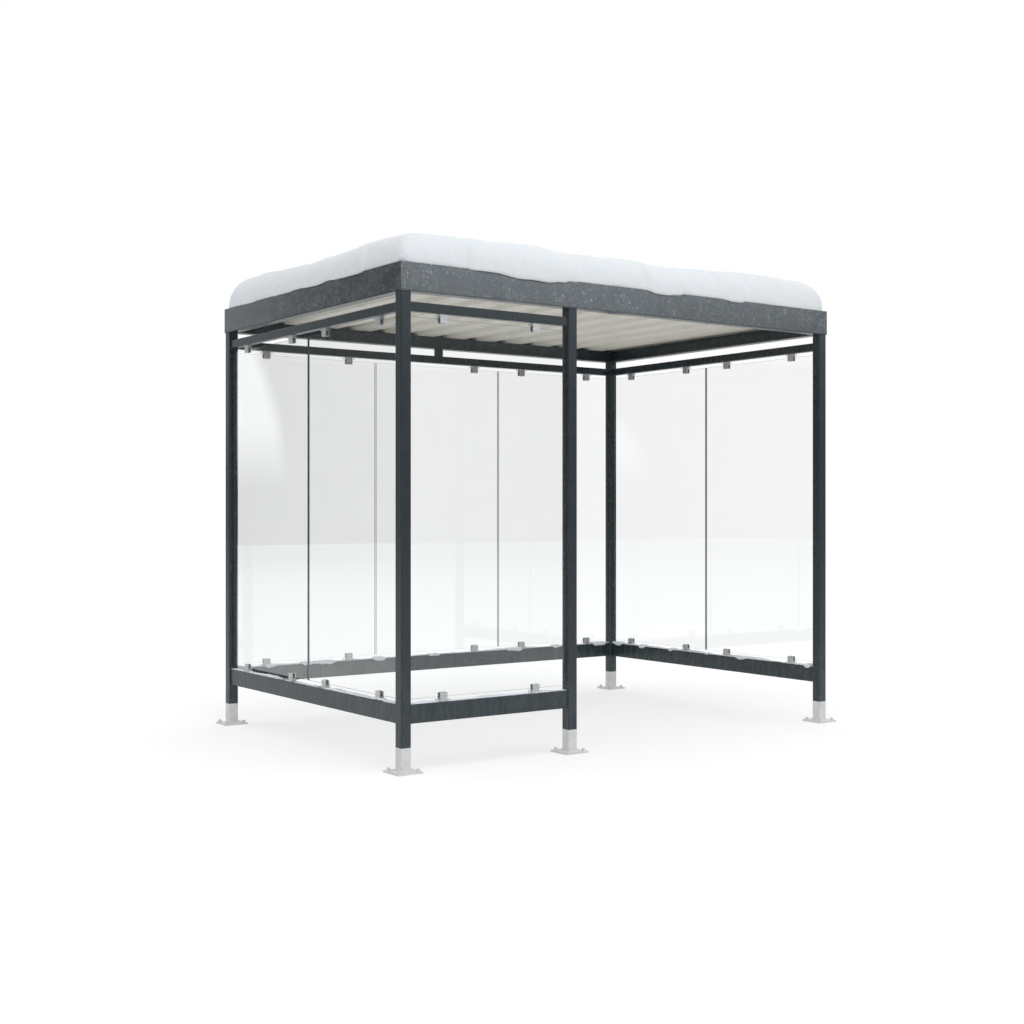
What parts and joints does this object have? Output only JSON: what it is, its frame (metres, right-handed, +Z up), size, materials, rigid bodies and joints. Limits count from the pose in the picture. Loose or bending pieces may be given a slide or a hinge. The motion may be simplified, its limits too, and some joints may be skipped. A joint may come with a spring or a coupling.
{
  "type": "smoking shelter",
  "caption": "Open-fronted glazed steel shelter on square posts with a flat corrugated roof, deep fascia, clamped clear panes and a snow cover.",
  "frame": {"origin": "centre of the footprint over the outer base plates, on the base plates' underside, 130 mm below the paving", "axes": "+X to the right along the front, +Y from the front to the back, +Z up"},
  "size_m": [3.25, 2.24, 2.8139],
  "materials": {
    "steel_paint": "satin",
    "zinc": "matte",
    "glass": "gloss",
    "clamp": "satin",
    "rubber": "matte",
    "fascia": "satin",
    "roof_sheet": "satin",
    "snow": "matte"
  },
  "bodies": {
    "root": {"post_front_left": "steel_paint", "base_plate_front_left": "zinc", "post_front_mid": "steel_paint", "base_plate_front_mid": "zinc", "post_front_right": "steel_paint", "base_plate_front_right": "zinc", "post_back_right": "steel_paint", "base_plate_back_right": "zinc", "post_back_left": "steel_paint", "base_plate_back_left": "zinc", "lower_rail_front": "steel_paint", "upper_rail_front": "steel_paint", "clamps_front": "clamp", "gaskets_front": "rubber", "roof_beam_front": "steel_paint", "fascia_front": "fascia", "lower_rail_left": "steel_paint", "upper_rail_left": "steel_paint", "clamps_left": "clamp", "gaskets_left": "rubber", "roof_beam_left": "steel_paint", "fascia_left": "fascia", "lower_rail_right": "steel_paint", "upper_rail_right": "steel_paint", "clamps_right": "clamp", "gaskets_right": "rubber", "roof_beam_right": "steel_paint", "fascia_right": "fascia", "lower_rail_back": "steel_paint", "upper_rail_back": "steel_paint", "clamps_back": "clamp", "gaskets_back": "rubber", "roof_beam_back": "steel_paint", "fascia_back": "fascia", "back_rail_stub": "steel_paint", "glass_front": "glass", "glass_left_front": "glass", "glass_left_back": "glass", "glass_right_front": "glass", "glass_right_back": "glass", "glass_back_left": "glass", "glass_back_middle": "glass", "glass_back_right": "glass", "roof_sheet": "roof_sheet", "snow_cover": "snow"}
  },
  "joints": []
}
